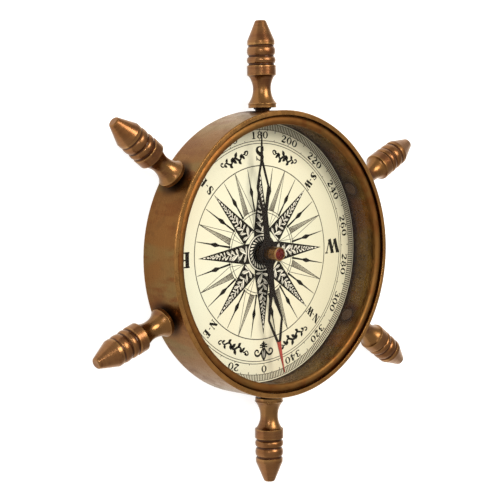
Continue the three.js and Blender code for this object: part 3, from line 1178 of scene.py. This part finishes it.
def make_lily(ink, marks):
    """The lily that marks north, pointing outwards."""
    spot = Spot(*polar(27.35, -90), -90)
    ink.polygon(spot.all(leaf((0, -0.9), (0, 2.9), 2.1)))
    for side in (-1, 1):
        inner = leaf((side * 0.38, -0.3), (side * 0.18, 2.1), 0.5)
        marks.polygon(spot.all(inner), 2)
        for knots, steps in ((LILY_CURL, 5), (LILY_TAIL, 4)):
            ink.stroke([spot(side * x, y, width) for x, y, width in spline(knots, steps)])
    ink.stroke([spot(-1.4, -1.08, 0.34), spot(1.4, -1.08, 0.34)])
    ink.polygon(spot.all(leaf((0, -1.1), (0, -2.9), 0.9)))
    ink.stroke([spot(-0.7, -2.15, 0.3), spot(0.7, -2.15, 0.3)])


def make_flourish(ink, middle, span, flip):
    """A generic leafy scroll on the letter ring."""
    ring, waves, swing, steps, leaves = 27.3, 2.5, 0.55, 60, 10

    def on_ring(along, out, *rest):
        azimuth = middle + math.degrees(along * flip / ring)
        return (*polar(ring + out, azimuth), *rest)

    def crest(t):
        return swing * math.sin(2 * math.pi * waves * t)

    stem = []
    for k in range(steps + 1):
        t = k / steps
        stem.append(on_ring(span * (t - 0.5), crest(t), 0.25 + 0.42 * math.sin(math.pi * t)))
    ink.stroke(stem)
    for k in range(leaves):
        t = (k + 0.5) / leaves
        side = 1 if k % 2 else -1
        size = 0.75 + 0.45 * math.sin(math.pi * t)
        start = (span * (t - 0.5), crest(t))
        end = (start[0] + 0.75 * size, start[1] + side * 1.25 * size)
        ink.polygon([on_ring(*p) for p in leaf(start, end, 0.85 * size, bow=side * 0.12)])
    for end in (-1, 1):
        x = end * span / 2
        curl = [
            (x, 0.0, 0.28), (x + end * 0.55, 0.35, 0.38), (x + end * 0.75, 0.95, 0.42),
            (x + end * 0.25, 1.2, 0.42), (x - end * 0.1, 0.85, 0.44),
        ]
        ink.stroke([on_ring(*p) for p in spline(curl, 5)])


def make_print():
    """All of the dial's print, one mesh for each ink and layer."""
    black, ink, mid, grey, hatch, cream, leaf_grey, veins, marks = (Print() for _ in range(9))
    make_scale(ink, grey, mid)
    make_letters(ink)
    make_rose(black, ink, mid, hatch, cream, leaf_grey, veins)
    make_lily(ink, marks)
    for middle, flip, span in ((70.5, 1, 7.6), (109.5, -1, 8.4), (-65.5, -1, 9.6), (-113.5, 1, 9.6)):
        make_flourish(ink, middle, span, flip)
    for sheet, name, material in (
        (black, "rose_points", INK), (ink, "print_black", INK), (mid, "print_lines", INK_MID),
        (grey, "print_scale", INK_GREY), (hatch, "print_hatch", INK_GREY), (cream, "rose_leaves", LEAF),
        (leaf_grey, "rose_leaves_shaded", LEAF_GREY), (veins, "rose_veins", INK),
        (marks, "lily_shading", LEAF_GREY),
    ):
        sheet.make(name, material)


# ---------------- stage, lights, camera


def floor_look():
    """White that glows a little, so that the floor stays plain and pale to its far edge."""
    material = bpy.data.materials.new("floor_white")
    material.use_nodes = True
    shader = material.node_tree.nodes["Principled BSDF"]
    for socket, value in (
        ("Base Color", (0.5, 0.5, 0.5, 1)), ("Roughness", 0.9), ("Specular IOR Level", 0.0),
        ("Emission Color", (1, 1, 1, 1)), ("Emission Strength", 0.82),
    ):
        shader.inputs[socket].default_value = value
    return material


def make_floor():
    """A wide floor just under the object's flat back."""
    mesh = bpy.data.meshes.new("floor")
    half = 1.5
    corners = [(-half, -half, 0), (half, -half, 0), (half, half, 0), (-half, half, 0)]
    mesh.from_pydata(corners, [], [(0, 1, 2, 3)])
    mesh.materials.append(floor_look())
    floor = linked("floor", mesh)
    floor.location.z = -0.2 * MM


def area_light(name, place, size, power, color=(1, 1, 1)):
    """A rectangular light that points at the middle of the object's back."""
    lamp = bpy.data.lights.new(name, "AREA")
    lamp.shape = "RECTANGLE"
    lamp.size, lamp.size_y = size
    lamp.energy = power
    lamp.color = color
    obj = linked(name, lamp)
    obj.location = place
    obj.rotation_mode = "QUATERNION"
    obj.rotation_quaternion = (-Vector(place)).to_track_quat("-Z", "Y")


def make_lights():
    """A white tent with a dark opening opposite the camera, a soft key light and a weak fill."""
    opening = Vector((0.72, -0.10, 0.69)).normalized()
    tent, dark = 0.76, 0.58
    edge, core = math.cos(math.radians(58)), math.cos(math.radians(20))
    world = bpy.data.worlds.new("studio")
    bpy.context.scene.world = world
    world.use_nodes = True
    nodes = Nodes(world.node_tree)
    way = nodes.node("TexCoord").outputs["Generated"]
    facing = nodes.node("VectorMath", {0: way, 1: opening}, operation="DOT_PRODUCT")
    background = world.node_tree.nodes["Background"]
    nodes.feed(background.inputs[0], (1.0, 0.97, 0.91, 1))
    nodes.feed(background.inputs[1], nodes.span(facing.outputs["Value"], edge, core, tent, dark))
    area_light("key", (0.09, 0.24, 0.50), (0.28, 0.28), 2.55, (1.0, 0.95, 0.87))
    area_light("fill", (-0.40, 0.16, 0.42), (0.05, 0.20), 0.5)


def make_camera():
    """Above the card's east side, 41 degrees off the dial's normal, with S at the top."""
    off_normal, towards_south, roll = math.radians(41.4), math.radians(5.03), math.radians(-1.15)
    distance, aside, raised = 0.398, -0.00555, 0.00093
    aim = Vector((0, 0, 0.0065))
    back = Vector((
        -math.sin(off_normal) * math.cos(towards_south),
        math.sin(towards_south),
        math.cos(off_normal) * math.cos(towards_south),
    ))
    right = Vector((0, 1, 0)).cross(back).normalized()
    up = back.cross(right)
    turn = Matrix.Rotation(roll, 3, back)
    right, up = turn @ right, turn @ up
    camera = bpy.data.cameras.new("camera")
    camera.sensor_width = 36
    camera.lens = 104.6
    camera.clip_start = 0.01
    obj = linked("camera", camera)
    obj.location = aim + back * distance + right * aside + up * raised
    obj.rotation_mode = "QUATERNION"
    obj.rotation_quaternion = Matrix((right, up, back)).transposed().to_quaternion()
    bpy.context.scene.camera = obj


make_case()
make_glazing()
make_dial_base()
make_handles()
make_pivot()
make_needle()
make_print()
make_floor()
make_lights()
make_camera()
bpy.context.scene.view_settings.view_transform = "Standard"
